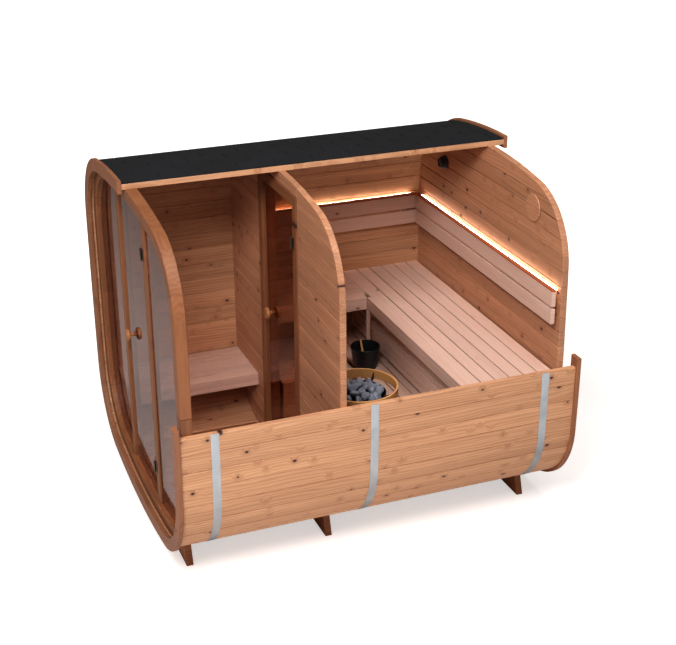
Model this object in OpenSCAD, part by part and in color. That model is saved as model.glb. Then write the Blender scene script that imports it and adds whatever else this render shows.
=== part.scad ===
// Rounded-square barrel sauna on cradle feet, shown as a cutaway: the upper near quarter of
// the stave shell and of both end rings is absent, so both rooms are open to view.
// Millimetres. +Z up, origin on the ground under the middle of the barrel. The glazed front
// faces -Y, the open side faces +X, and the barrel's length runs along Y.

/* [Barrel] */
// Width over the end rings
barrel_w = 2242; // [1900:10:2700]
// Height of the barrel over the end rings
barrel_h = 2228; // [2000:10:2600]
// Length over the end rings
barrel_l = 2640; // [2400:10:3400]
// Outside corner radius of the end rings
corner_r = 518; // [400:2:600]
// Half angle of the gently curved side arc, degrees
side_half = 1.9; // [1.5:0.1:4]
// Half angle of the gently curved top and bottom arcs, degrees
top_half = 8.9; // [7:0.1:12]
// Thickness of a stave
stave_t = 38; // [28:1:45]
// Depth of the groove that seats a wall in the staves
groove_d = 5; // [3:1:8]
// Height of the near side's cut edge below the barrel's centre line
side_cut = 106; // [40:1:300]
// How far the roof's cut edge lies past the middle of the barrel
roof_cut = 16; // [5:1:60]

/* [End rings] */
// Thickness of an end ring along the barrel
ring_t = 28; // [20:1:40]
// Radial width of an end ring
ring_w = 83; // [70:1:110]
// How far an end ring stands proud of the shell
ring_lip = 21; // [16:1:30]
// Height of a ring's cut end below the barrel's centre line
ring_cut = 40; // [10:1:100]

/* [Roof] */
// Thickness of the shingle cover
shingle_t = 9; // [5:0.5:12]
// Normal angle at which the shingle cover ends on the far side, degrees
shingle_end = 172; // [150:1:178]

/* [Feet and straps] */
// Clear height under the barrel's shell
foot_h = 139; // [110:1:200]
// Thickness of a cradle foot along the barrel
foot_t = 45; // [35:1:60]
// Length of a cradle foot on the ground
foot_l = 1400; // [1200:10:1600]
// Slant of a cradle foot's ends, degrees from upright
foot_slant = 18; // [5:1:30]
// Distance from the barrel's ends to the outer cradle feet
foot_inset = 150; // [120:5:300]
// Distance of the middle cradle foot in front of the barrel's middle
foot_mid = 235; // [0:5:300]
// Width of a tension strap
strap_w = 52; // [30:1:60]
// Thickness of a tension strap
strap_t = 1.2; // [0.8:0.1:2]
// Distance from the barrel's ends to the outer straps
strap_inset = 240; // [200:5:320]
// Distance of the middle strap in front of the barrel's middle
strap_mid = 81; // [0:1:200]

/* [Walls] */
// Thickness of the back wall and of the partition
wall_t = 42; // [28:1:45]
// Recess of the back wall behind the barrel's end
back_recess = 100; // [60:5:140]
// Distance of the partition's changing-room face in front of the barrel's middle
partition_y = 291; // [100:1:500]
// Recess of the facade frame behind the barrel's end
facade_recess = 48; // [35:1:80]
// Depth of the facade frame along the barrel
facade_t = 72; // [60:1:90]
// Radial width of the facade frame
facade_w = 80; // [60:1:100]
// Setback of the facade posts behind the facade frame's face
post_set = 22; // [0:1:30]

/* [Doors] */
// Distance of both doors' hinge-side post from the barrel's middle
hinge_x = 265; // [200:5:320]
// Clear width between the latch post's front edge and the hinge post
door_w = 614; // [500:2:700]
// Width of the latch post's front face
latch_w = 63; // [40:1:80]
// Width of the stop that the glass closes against
stop_w = 78; // [40:1:90]
// Setback of the stop behind the post's front face
stop_set = 24; // [22:1:30]
// Width of the hinge post
hinge_w = 76; // [60:1:100]
// How far the glass laps over the stop
glass_lap = 10; // [8:1:30]
// Thickness of the glass
glass_t = 8; // [6:1:10]
// Clearance round a door
door_gap = 5; // [5:0.5:8]
// Underside of the partition door's head above the ground
head_z = 2143; // [1900:1:2200]
// Height of the partition door's head
head_h = 72; // [50:1:90]
// Depth of the partition door's frame
jamb_t = 80; // [60:1:100]
// How far the partition door's frame stands proud of the changing-room face
jamb_proud = 7; // [2:1:20]
// Widest a door opens, degrees
door_open = 100; // [60:1:110]

/* [Door fittings] */
// Height of the knobs above the ground
knob_z = 1235; // [1000:5:1400]
// Distance of the knobs from the leaf's free edge
knob_in = 75; // [50:1:120]
// Radius of a knob's disc
knob_r = 42; // [30:1:50]
// Thickness of a knob's disc
knob_t = 28; // [12:1:32]
// Clear finger space between the glass and a knob's disc
knob_gap = 21; // [18:1:35]
// Radius of a knob's stem
stem_r = 12; // [8:1:16]
// Height of a hinge
hinge_h = 77; // [60:1:100]
// Distance of a hinge's middle from the leaf's ends
hinge_in = 240; // [150:5:350]
// Radius of a hinge's knuckle
knuckle_r = 6; // [5:0.5:8]
// Radius of a hinge's pin
pin_r = 3; // [2:0.5:4]
// Width of the clamp plate that grips the glass
clamp_w = 46; // [30:1:60]
// Thickness of a clamp plate
clamp_t = 4; // [3:0.5:4.5]

/* [Changing room] */
// Top of the floor grids above the ground
floor_z = 245; // [225:1:260]
// Thickness of the floor boards
floor_board_t = 28; // [18:1:35]
// Width of a floor grid
floor_w = 1100; // [900:10:1200]
// Top of the changing-room bench above the ground
low_bench_z = 630; // [550:5:750]
// Distance of the changing-room bench's edge from the barrel's middle
low_bench_x = 545; // [450:5:700]

/* [Hot room] */
// Top of the benches above the ground
bench_z = 1095; // [900:5:1200]
// Distance of the main bench's edge behind the barrel's middle
bench_y = 534; // [400:5:700]
// Distance of the side bench's edge from the barrel's middle
arm_x = 517; // [400:5:650]
// Width of a bench slat
slat_w = 90; // [70:1:110]
// Gap between bench slats
slat_gap = 10; // [6:1:15]
// Thickness of a bench slat
slat_t = 28; // [20:1:35]
// Height of the board along a bench's edge
fascia_h = 91; // [60:1:120]
// Top of the lower deck above the ground
deck_z = 620; // [550:5:700]
// Distance of the lower deck's edge behind the barrel's middle
deck_y = 345; // [250:5:500]
// Distance of the side deck's edge from the barrel's middle
step_x = 340; // [300:5:500]
// Gap between the side deck and the partition
step_gap = 79; // [60:1:300]
// Height of a skirt slat under the main bench
skirt_h = 44; // [30:1:60]
// Gap between skirt slats
skirt_gap = 7; // [4:1:12]
// Setback of the skirt behind the main bench's edge
skirt_set = 95; // [50:5:150]
// Side of a hidden leg or bearer
leg_w = 38; // [30:1:60]
// Side of the post under the benches' inner corner
post_w = 25; // [18:1:40]

/* [Backrests] */
// Top of the backrests above the ground
backrest_z = 1645; // [1400:1:1800]
// Height of a backrest slat
backrest_h = 100; // [80:1:130]
// Gap between backrest slats
backrest_gap = 16; // [8:1:30]
// Depth of the blocks behind the backrests
backrest_off = 30; // [15:1:60]
// Thickness of the cap board over the backrests
cap_t = 12; // [8:1:20]

/* [Heater] */
// Distance of the heater's middle from the barrel's middle, across
heater_x = 585; // [500:5:600]
// Distance of the heater's middle from the barrel's middle, along
heater_y = 30; // [0:5:60]
// Radius of the heater's body
heater_r = 168; // [130:1:185]
// Top of the heater's body above the ground
heater_z = 950; // [800:5:960]
// Height of the stone heap over the heater's body
stones_h = 50; // [30:1:90]
// Outside radius of the guard ring
guard_r = 245; // [210:1:260]
// Height of the guard ring
guard_h = 62; // [50:1:90]
// Thickness of the guard ring
guard_t = 12; // [8:1:18]
// Top of the guard ring above the ground
guard_z = 1000; // [900:5:1050]

/* [Bucket and ladle] */
// Bucket's distance from the barrel's middle, across
bucket_x = -380; // [-450:5:-300]
// Bucket's distance from the barrel's middle, along
bucket_y = 463; // [455:1:480]
// Height of the bucket
bucket_h = 166; // [140:1:240]
// Rim radius of the bucket
bucket_r = 106; // [85:1:115]
// Base radius of the bucket
bucket_foot_r = 83; // [65:1:88]
// Wall of the bucket
bucket_t = 6; // [4:0.5:9]

/* [Wall fittings] */
// Height of the vent cover's middle above the ground
vent_z = 2070; // [1900:5:2100]
// Distance of the vent cover from the barrel's middle
vent_x = 665; // [400:5:700]
// Radius of the vent cover
vent_r = 88; // [60:1:110]
// Height of the lamp's middle above the ground
lamp_z = 2000; // [1900:5:2100]
// Distance of the lamp from the barrel's middle
lamp_x = 625; // [400:5:700]
// Radius of the lamp
lamp_r = 48; // [35:1:60]

/* [Hidden] */
$fn = 48;
seat = 0.3;
pin_play = 0.05;
side_steps = 6;
corner_steps = 16;
top_steps = 8;

// Radii of the side and top arcs that meet the corner arcs without a kink
half_w = barrel_w / 2;
half_h = barrel_h / 2;
run_w = half_w - corner_r;
run_h = half_h - corner_r;
fit_det = (1 - cos(side_half)) * (1 - cos(top_half)) - sin(side_half) * sin(top_half);
side_r = corner_r + (run_w * (1 - cos(top_half)) - run_h * sin(top_half)) / fit_det;
top_r = corner_r + (run_h * (1 - cos(side_half)) - run_w * sin(side_half)) / fit_det;
corner_x = half_w - side_r + (side_r - corner_r) * cos(side_half);
corner_z = (side_r - corner_r) * sin(side_half);
centre_z = foot_h + half_h - ring_lip;

// Point of the barrel's outline, set in by inset, where the outward normal points at angle g
function fold(g) = acos(min(1, abs(cos(g))));
function quarter(inset, h) =
    h <= side_half ? [half_w - side_r + (side_r - inset) * cos(h), (side_r - inset) * sin(h)] :
    h <= 90 - top_half ? [corner_x + (corner_r - inset) * cos(h),
        corner_z + (corner_r - inset) * sin(h)] :
    [(top_r - inset) * cos(h), half_h - top_r + (top_r - inset) * sin(h)];
function outline(inset, g) = let (q = quarter(inset, fold(g)))
    [cos(g) < 0 ? -q[0] : q[0], centre_z + (sin(g) < 0 ? -q[1] : q[1])];
function spread(g0, g1, n) = [for (i = [0:n]) g0 + (g1 - g0) * i / n];

// Half height of the outline at a distance x from the middle of the top or bottom arc
function half_rise(inset, x) = half_h - top_r + sqrt(pow(top_r - inset, 2) - x * x);
// Half width of the outline at a height z above the ground
function corner_reach(inset, h) = corner_x + sqrt(pow(corner_r - inset, 2) - pow(h - corner_z, 2));
function half_width(inset, z) = let (h = abs(z - centre_z))
    h <= (side_r - inset) * sin(side_half)
        ? half_w - side_r + sqrt(pow(side_r - inset, 2) - h * h) : corner_reach(inset, h);

// Stretches of the outline by normal angle
roof_g = acos(roof_cut / top_r);
side_g = 360 - asin(side_cut / side_r);
ring_g = 360 - asin(ring_cut / side_r);
roof_span = spread(roof_g, 90 + top_half, top_steps / 2);
far_upper_span = spread(90 + top_half, 180 - side_half, corner_steps);
far_side_span = spread(180 - side_half, 180 + side_half, side_steps);
far_lower_span = spread(180 + side_half, 270 - top_half, corner_steps);
bottom_span = spread(270 - top_half, 270 + top_half, top_steps);
near_lower_span = spread(270 + top_half, 360 - side_half, corner_steps);
near_side_span = spread(360 - side_half, side_g, side_steps / 2);
ring_side_span = spread(360 - side_half, ring_g, side_steps / 2);
shingle_span = concat([for (g = far_upper_span) if (g < shingle_end) g], [shingle_end]);
under_span = concat(far_lower_span, bottom_span, near_lower_span);
whole_span = concat(spread(side_g - 360, side_half, side_steps),
    spread(side_half, 90 - top_half, corner_steps), spread(90 - top_half, roof_g, top_steps / 2),
    roof_span, far_upper_span, far_side_span, under_span, near_side_span);

// Inset of each layer from the rings' outside
shell_in = ring_lip;
shell_inner = shell_in + stave_t;
wall_in = shell_inner - groove_d;
pane_in = wall_in + facade_w;
strap_in = shell_in - seat - strap_t;
shingle_in = strap_in - seat;

// Places along the barrel
end_y = barrel_l / 2;
shell_end = end_y - ring_t;
facade_y = -end_y + facade_recess;
post_y = facade_y + post_set;
post_t = facade_t - post_set;
back_y = end_y - back_recess - wall_t;
hot_y = -partition_y + wall_t;
jamb_y = -partition_y - jamb_proud;
foot_ys = [-end_y + foot_inset, -foot_mid, end_y - foot_inset];
strap_ys = [-end_y + strap_inset, -strap_mid, end_y - strap_inset];

// Both doors share these places across the barrel
latch_x = hinge_x - door_w;
stop_x = latch_x + stop_w;
leaf_x0 = stop_x - glass_lap;
leaf_x1 = hinge_x - door_gap - 1;
glass_set = stop_set - door_gap - glass_t;
pin_x = hinge_x - 3;
pin_set = knuckle_r + 2;
leaf_reach = max(-leaf_x0, leaf_x1);
front_leaf_z0 = centre_z - half_rise(pane_in, leaf_reach) + door_gap;
front_leaf_z1 = centre_z + half_rise(pane_in, leaf_reach) - door_gap;
sill_z = floor_z + 20;
back_leaf_z0 = sill_z + door_gap;
back_leaf_z1 = head_z - door_gap;

// A piece of the barrel's wall: a band of the outline drawn along Y
module along(y0, y1) {
    translate([0, y1, 0]) rotate([90, 0, 0]) linear_extrude(y1 - y0) children();
}
module band(outer, inner, span) {
    last = len(span) - 1;
    polygon(concat([for (g = span) outline(outer, g)],
        [for (i = [last:-1:0]) outline(inner, span[i])]));
}
module disc(inset) {
    polygon([for (g = whole_span) outline(inset, g)]);
}
module box(x0, x1, y0, y1, z0, z1) {
    translate([x0, y0, z0]) cube([x1 - x0, y1 - y0, z1 - z0]);
}

// Staves, grooved where the facade, the partition and the back wall sit in them
module stave_run(span) {
    color("#C6926A") difference() {
        along(-shell_end, shell_end) band(shell_in, shell_inner, span);
        along(facade_y - seat, facade_y + facade_t + seat) groove(span);
        along(-partition_y - seat, hot_y + seat) groove(span);
        along(back_y - seat, back_y + wall_t + seat) groove(span);
    }
}
module groove(span) {
    wide = concat([span[0] - 1], span, [span[len(span) - 1] + 1]);
    band(wall_in - seat, shell_inner + groove_d, wide);
}
module shell_roof() { stave_run(roof_span); }
module shell_far_upper_corner() { stave_run(far_upper_span); }
module shell_far_side() { stave_run(far_side_span); }
module shell_far_lower_corner() { stave_run(far_lower_span); }
module shell_bottom() { stave_run(bottom_span); }
module shell_near_lower_corner() { stave_run(near_lower_span); }
module shell_near_side() { stave_run(near_side_span); }

// Flat trim rings on the shell's ends, open over the cut quarter
module ring(y0) {
    span = concat(roof_span, far_upper_span, far_side_span, under_span, ring_side_span);
    color("#A8714C") along(y0, y0 + ring_t) band(0, ring_w, span);
}
module front_ring() { ring(-end_y); }
module back_ring() { ring(shell_end); }

// Bitumen shingle cover between the rings
module roof_shingles() {
    color("#2B2E36") along(-shell_end + seat, shell_end - seat)
        band(shingle_in - shingle_t, shingle_in, concat(roof_span, shingle_span));
}

// Steel tension straps round the shell, under the shingles
module tension_straps() {
    span = concat(roof_span, far_upper_span, far_side_span, under_span, near_side_span);
    color("#C4C8CC") for (y = strap_ys)
        along(y - strap_w / 2, y + strap_w / 2) band(strap_in, shell_in - seat, span);
}

// Cradle feet: boards on edge, cut to the barrel's underside
module cradle_feet() {
    top_z = centre_z - half_rise(shell_in, 0) + 75;
    lean = top_z * tan(foot_slant);
    color("#7A4A30") for (y = foot_ys) difference() {
        along(y - foot_t / 2, y + foot_t / 2) polygon([[-foot_l / 2, 0], [foot_l / 2, 0],
            [foot_l / 2 - lean, top_z], [-foot_l / 2 + lean, top_z]]);
        along(y - foot_t, y + foot_t) disc(shell_in - seat);
    }
}

// Curved facade frame that follows the shell's inside
module facade_frame() {
    color("#A06A42") along(facade_y, facade_y + facade_t) difference() {
        disc(wall_in);
        disc(pane_in);
    }
}
// Latch post with its glass stop, and plain hinge post
module latch_post_plan(y, depth) {
    polygon([[latch_x - latch_w, y], [latch_x, y], [latch_x, y + stop_set],
        [stop_x, y + stop_set], [stop_x, y + depth], [latch_x - latch_w, y + depth]]);
}
module hinge_post_plan(y, depth) {
    translate([hinge_x, y]) square([hinge_w, depth]);
}
module facade_posts() {
    color("#8F5A36") intersection() {
        linear_extrude(barrel_h + foot_h) {
            latch_post_plan(post_y, post_t);
            hinge_post_plan(post_y, post_t);
        }
        along(post_y - 1, post_y + post_t + 1) disc(pane_in + seat);
    }
}
// Fixed panes beside the front door
module facade_side_glass() {
    pane_y = post_y + glass_set;
    color("#9C8F96", 0.4) intersection() {
        along(pane_y, pane_y + glass_t) disc(pane_in + seat);
        union() {
            box(-half_w, latch_x - latch_w - seat, -end_y, 0, 0, centre_z + half_h);
            box(hinge_x + hinge_w + seat, half_w, -end_y, 0, 0, centre_z + half_h);
        }
    }
}

// Frameless glass leaf, turned knobs on both faces and hinge clamps, for a frame face at y
module leaf(y, z0, z1) {
    color("#8A7A80", 0.4)
        box(leaf_x0, leaf_x1, y + glass_set, y + glass_set + glass_t, z0, z1);
}
module knob(dir) {
    rotate([-90 * dir, 0, 0]) {
        cylinder(r = stem_r, h = knob_gap + 1);
        translate([0, 0, knob_gap]) cylinder(r = knob_r, h = knob_t);
    }
}
module knobs(y) {
    color("#C08A58") translate([leaf_x0 + knob_in, y + glass_set, knob_z]) {
        knob(-1);
        translate([0, glass_t, 0]) knob(1);
    }
}
module moving_hinge(y) {
    front = y + glass_set;
    half = hinge_h / 2;
    knuckle = half - 12;
    box(leaf_x1 - clamp_w, leaf_x1, front - clamp_t, front, -half, half);
    box(leaf_x1 - clamp_w, leaf_x1, front + glass_t, front + glass_t + clamp_t, -half, half);
    difference() {
        union() {
            box(leaf_x1 - 12, leaf_x1, y - pin_set, front - clamp_t, -knuckle, knuckle);
            translate([pin_x, y - pin_set, -knuckle]) cylinder(r = knuckle_r, h = 2 * knuckle);
        }
        translate([pin_x, y - pin_set, -half]) cylinder(r = pin_r + pin_play, h = hinge_h);
    }
}
module clamps(y, z0, z1) {
    color("#6F7378") for (z = [z0 + hinge_in, z1 - hinge_in])
        translate([0, 0, z]) moving_hinge(y);
}
module fixed_hinge(y) {
    half = hinge_h / 2;
    knuckle = half - 12 + seat;
    box(hinge_x + 5, hinge_x + 37, y - 3, y, -half, half);
    for (z0 = [-half, knuckle]) {
        box(pin_x, hinge_x + 6, y - pin_set - 3, y, z0, z0 + half - knuckle);
        translate([pin_x, y - pin_set, z0]) cylinder(r = knuckle_r, h = half - knuckle);
    }
    translate([pin_x, y - pin_set, -half]) cylinder(r = pin_r, h = hinge_h);
}
module front_door_glass() { leaf(post_y, front_leaf_z0, front_leaf_z1); }
module front_door_knobs() { knobs(post_y); }
module front_door_clamps() { clamps(post_y, front_leaf_z0, front_leaf_z1); }
module partition_door_glass() { leaf(jamb_y, back_leaf_z0, back_leaf_z1); }
module partition_door_knobs() { knobs(jamb_y); }
module partition_door_clamps() { clamps(jamb_y, back_leaf_z0, back_leaf_z1); }
module door_hinges() {
    color("#6F7378") {
        for (z = [front_leaf_z0 + hinge_in, front_leaf_z1 - hinge_in])
            translate([0, 0, z]) fixed_hinge(post_y);
        for (z = [back_leaf_z0 + hinge_in, back_leaf_z1 - hinge_in])
            translate([0, 0, z]) fixed_hinge(jamb_y);
    }
}

// Partition of horizontal boards, with the hot room's doorway in it
module partition_piece(x0, x1, z0, z1) {
    color("#A87450") intersection() {
        along(-partition_y, hot_y) disc(wall_in);
        box(x0, x1, -end_y, end_y, z0, z1);
    }
}
jamb_x0 = latch_x - latch_w;
jamb_x1 = hinge_x + hinge_w;
module partition_far_panel() { partition_piece(-half_w, jamb_x0 - seat, 0, centre_z + half_h); }
module partition_near_panel() { partition_piece(jamb_x1 + seat, half_w, 0, centre_z + half_h); }
module partition_head_panel() {
    partition_piece(jamb_x0, jamb_x1, head_z + head_h + seat, centre_z + half_h);
}
module partition_sill() { partition_piece(jamb_x0, jamb_x1, 0, sill_z); }
module partition_jambs() {
    color("#B27C54") translate([0, 0, sill_z]) linear_extrude(head_z - sill_z) {
        latch_post_plan(jamb_y, jamb_t);
        hinge_post_plan(jamb_y, jamb_t);
    }
}
module partition_door_head() {
    color("#B27C54") box(jamb_x0, jamb_x1, jamb_y, jamb_y + jamb_t, head_z, head_z + head_h);
}

// Back wall with its vent cover and lamp
module back_wall() { color("#A87450") along(back_y, back_y + wall_t) disc(wall_in); }
module vent_cover() {
    color("#A87450") translate([vent_x, back_y, vent_z]) rotate([90, 0, 0]) {
        cylinder(r = vent_r - 10, h = 4);
        translate([0, 0, 4]) cylinder(r = vent_r, h = 8);
    }
}
module wall_lamp() {
    color("#1C1C1E") translate([-lamp_x, back_y, lamp_z]) rotate([90, 0, 0]) {
        cylinder(r = lamp_r, h = 18);
        translate([0, 0, 18]) cylinder(r = lamp_r - 10, h = 30);
    }
}

// Slatted floor grids on bearers that lie on the curved bottom
grid_n = floor((floor_w + slat_gap) / (slat_w + slat_gap));
grid_run = grid_n * (slat_w + slat_gap) - slat_gap;
module grid(x0, y0, y1) {
    for (i = [0:grid_n - 1]) {
        x = x0 + i * (slat_w + slat_gap);
        box(x, x + slat_w, y0, y1, floor_z - floor_board_t, floor_z);
    }
    for (y = [y0 + 60, y1 - 60 - leg_w]) intersection() {
        box(x0, x0 + grid_run, y, y + leg_w, 0, floor_z - floor_board_t + 1);
        along(y0, y1) disc(shell_inner + seat);
    }
}
module floor_grids() {
    color("#7A4A30") {
        grid(-grid_run / 2, facade_y + facade_t + 20, jamb_y - 20);
        grid(-grid_run / 2, jamb_y + jamb_t + 20, deck_y - 10);
    }
}

// Slats side by side from edge a, where the wall side is at b; the edge board closes the front
module slats_across(y0, y1, x0, x1, z) {
    pitch = slat_w + slat_gap;
    count = floor((y1 - y0 + slat_gap) / pitch);
    for (i = [0:count - 1])
        box(x0, x1, y1 - i * pitch - slat_w, y1 - i * pitch, z - slat_t, z);
}
module slats_along(x0, x1, y0, y1, z) {
    pitch = slat_w + slat_gap;
    count = floor((x1 - x0 + slat_gap) / pitch);
    for (i = [0:count - 1])
        box(x1 - i * pitch - slat_w, x1 - i * pitch, y0, y1, z - slat_t, z);
}
// Cut a seat to the shell's inside
module fitted(y0, y1) {
    intersection() {
        union() children();
        along(y0, y1) disc(shell_inner + seat);
    }
}
bearer_h = 60;
module changing_bench() {
    y0 = facade_y + facade_t + 8;
    y1 = -partition_y - seat;
    inner = half_width(shell_inner, low_bench_z - fascia_h);
    color("#C9A99A") fitted(y0, y1) {
        slats_along(-inner - slat_w, -low_bench_x, y0, y1, low_bench_z);
        box(-low_bench_x - slat_t, -low_bench_x, y0, y1, low_bench_z - fascia_h,
            low_bench_z - slat_t + 1);
        for (y = [y0 + 40, y1 - 40 - leg_w])
            box(-half_w, -low_bench_x - slat_t + 1, y, y + leg_w,
                low_bench_z - slat_t - bearer_h, low_bench_z - slat_t + 1);
    }
}
bench_back = back_y - slat_gap - 2;
bench_n = floor((bench_back - bench_y - fascia_h) / (slat_w + slat_gap));
front_w = bench_back - bench_y - bench_n * (slat_w + slat_gap);
module main_bench() {
    y1 = back_y - seat;
    behind = bench_y + slat_t;
    color("#DCC0B2") fitted(bench_y, y1) {
        slats_across(bench_y + front_w, bench_back, -half_w, half_w, bench_z);
        box(-arm_x, half_w, bench_y, bench_y + front_w, bench_z - slat_t, bench_z);
        box(-half_w, 1 - arm_x, behind, bench_y + front_w, bench_z - slat_t, bench_z);
        box(-arm_x, half_w, bench_y, behind, bench_z - fascia_h, bench_z - slat_t + 1);
        for (x = [-900, -arm_x - 60, 0, 480, 930])
            box(x, x + leg_w, behind - 1, y1, bench_z - slat_t - bearer_h,
                bench_z - slat_t + 1);
    }
}
module side_bench() {
    y0 = hot_y + seat;
    y1 = bench_y + slat_t - 1 - seat;
    color("#DCC0B2") fitted(y0, y1) {
        slats_along(-half_w, -arm_x - seat, y0, y1 - slat_t, bench_z);
        slats_along(-half_w, -arm_x - seat - slat_w - slat_gap, y1 - slat_t - 1, y1, bench_z);
        box(-arm_x - slat_t, -arm_x - seat, y0, y1 - slat_t, bench_z - fascia_h,
            bench_z - slat_t + 1);
        for (y = [y0 + 60, y1 - slat_t - 60 - leg_w])
            box(-half_w, -arm_x - slat_t + 1, y, y + leg_w, bench_z - slat_t - bearer_h,
                bench_z - slat_t + 1);
    }
}
skirt_y = bench_y + skirt_set;
module bench_skirt() {
    pitch = skirt_h + skirt_gap;
    top = bench_z - slat_t - bearer_h - seat;
    count = floor((top - deck_z - seat + skirt_gap) / pitch);
    color("#9C6E58") fitted(skirt_y, skirt_y + slat_t + leg_w) {
        for (i = [0:count - 1])
            box(-half_w, half_w, skirt_y, skirt_y + slat_t, top - i * pitch - skirt_h,
                top - i * pitch);
        for (x = [-850, -280, 290, 860])
            box(x, x + leg_w, skirt_y + slat_t - 1, skirt_y + slat_t + leg_w, deck_z + seat, top);
    }
}
leg_x = -arm_x - slat_t - seat;
module bench_legs() {
    color("#C4A48E") {
        box(-arm_x - post_w, -arm_x, bench_y, bench_y + post_w, deck_z + seat,
            bench_z - fascia_h - seat);
        box(leg_x - leg_w, leg_x, 0, leg_w, deck_z + seat, bench_z - slat_t - seat);
    }
}
module lower_deck() {
    y1 = skirt_y + slat_t + leg_w;
    color("#A88070") fitted(deck_y, y1) {
        slats_across(deck_y + slat_t, y1, -half_w, half_w, deck_z);
        box(-half_w, half_w, deck_y, deck_y + slat_t - 2, deck_z - fascia_h, deck_z);
        for (x = [-800, -270, 270, 800]) {
            box(x, x + leg_w, deck_y + slat_t - 3, y1, deck_z - slat_t - bearer_h,
                deck_z - slat_t + 1);
            for (y = [deck_y + slat_t, y1 - leg_w])
                box(x, x + leg_w, y, y + leg_w, 0, deck_z - slat_t);
        }
    }
}
// Side deck along the far wall, boxed in down to the floor
module side_deck() {
    y0 = hot_y + step_gap;
    y1 = deck_y - seat;
    color("#A88070") fitted(y0, y1) {
        slats_along(-half_w, -step_x - slat_t - 2, y0, y1, deck_z);
        box(-step_x - slat_t, -step_x, y0, y1, floor_z + 5, deck_z);
        for (y = [y0, y1 - leg_w])
            box(-half_w, -step_x - slat_t + 1, y, y + leg_w, deck_z - slat_t - bearer_h,
                deck_z - slat_t + 1);
    }
}

// Backrests: two slats on blocks, with a cap board over the light strip
backrest_y = back_y - backrest_off;
side_x = half_width(shell_inner, backrest_z);
rest_x = side_x - backrest_off;
rest_end = rest_x - slat_t;
rest_foot = backrest_z - 2 * backrest_h - backrest_gap;
module back_backrest() {
    color("#DCC0B2") {
        for (z = [backrest_z - backrest_h, rest_foot])
            box(-rest_end + slat_gap, side_x - 10, backrest_y - slat_t, backrest_y, z,
                z + backrest_h);
        for (x = [-rest_end + 60, -330, 330, rest_end - 60 - leg_w])
            box(x, x + leg_w, backrest_y - 1, back_y - seat, rest_foot, backrest_z);
    }
}
module side_backrest() {
    y0 = hot_y + seat;
    color("#DCC0B2") fitted(y0, back_y - seat) {
        for (z = [backrest_z - backrest_h, rest_foot])
            box(-rest_x, -rest_end, y0, back_y - seat, z, z + backrest_h);
        for (y = [y0 + 60, 200, 650, backrest_y - slat_t - 100])
            box(-half_w, -rest_x + 1, y, y + leg_w, rest_foot, backrest_z);
    }
}
// Warm light strips lie along the walls on the backrests' blocks, over thin cap boards
module light_strips() {
    color("#FFE9C8") {
        box(-rest_end + slat_gap, side_x - 10, backrest_y - slat_t, back_y - seat,
            backrest_z + seat, backrest_z + cap_t);
        fitted(hot_y + seat, backrest_y - slat_t - seat)
            box(-half_w, -rest_end, hot_y + seat, backrest_y - slat_t - seat, backrest_z + seat,
                backrest_z + cap_t);
    }
}

// Round heater on legs, with its stone heap, guard ring and brackets: two legs stand on the
// floor grid and two on the shell beside it
guard_in = guard_r - guard_t - seat;
module at_heater() { translate([heater_x, heater_y, 0]) children(); }
module heater_leg(a, z) {
    at_heater() rotate([0, 0, a]) translate([heater_r - 40, 0, z])
        cylinder(r = 15, h = floor_z + 41 - z);
}
module guard_bracket() {
    rotate([90, 0, 0]) linear_extrude(4, center = true) polygon([
        [heater_r - 2, guard_z - 1.5 * guard_h], [guard_in, guard_z - guard_h + 6],
        [guard_in, guard_z - guard_h / 4], [heater_r - 2, heater_z - 1]]);
}
module heater_body() {
    color("#2A2A2E") {
        at_heater() difference() {
            translate([0, 0, floor_z + 40]) cylinder(r = heater_r, h = heater_z - floor_z - 40);
            translate([0, 0, heater_z - 120]) cylinder(r = heater_r - 5, h = 121);
        }
        for (a = [135, 225]) heater_leg(a, floor_z + seat);
        intersection() {
            for (a = [45, 315]) heater_leg(a, foot_h);
            along(-half_w, half_w) disc(shell_inner + seat);
        }
        at_heater() for (a = [45:90:315]) rotate([0, 0, a]) guard_bracket();
    }
}
module heater_stones() {
    color("#6F727F") at_heater() intersection() {
        translate([0, 0, heater_z - 119]) cylinder(r = heater_r - 6, h = 119 + stones_h);
        dome_r = (pow(heater_r - 6, 2) + pow(stones_h, 2)) / (2 * stones_h);
        translate([0, 0, heater_z + stones_h - dome_r]) sphere(r = dome_r, $fn = 64);
    }
}
module heater_guard() {
    color("#C99A62") at_heater() difference() {
        translate([0, 0, guard_z - guard_h]) cylinder(r = guard_r, h = guard_h);
        translate([0, 0, guard_z - guard_h - 1]) cylinder(r = guard_r - guard_t, h = guard_h + 2);
    }
}

// Water bucket and its ladle
module bucket() {
    color("#151517") translate([bucket_x, bucket_y, deck_z + seat]) difference() {
        cylinder(r1 = bucket_foot_r, r2 = bucket_r, h = bucket_h);
        translate([0, 0, bucket_t])
            cylinder(r1 = bucket_foot_r - bucket_t, r2 = bucket_r - bucket_t, h = bucket_h);
    }
}
ladle_r = 9;
ladle_lean = 30;
ladle_x = bucket_t - bucket_r + (bucket_h - bucket_t) * tan(ladle_lean)
    + ladle_r / cos(ladle_lean) + seat;
module ladle() {
    color("#B08058") translate([bucket_x, bucket_y, deck_z + bucket_t + 2 * seat])
        translate([ladle_x, 0, ladle_r * sin(ladle_lean)])
            rotate([0, -ladle_lean, 0]) cylinder(r = ladle_r, h = 192);
}

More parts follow.
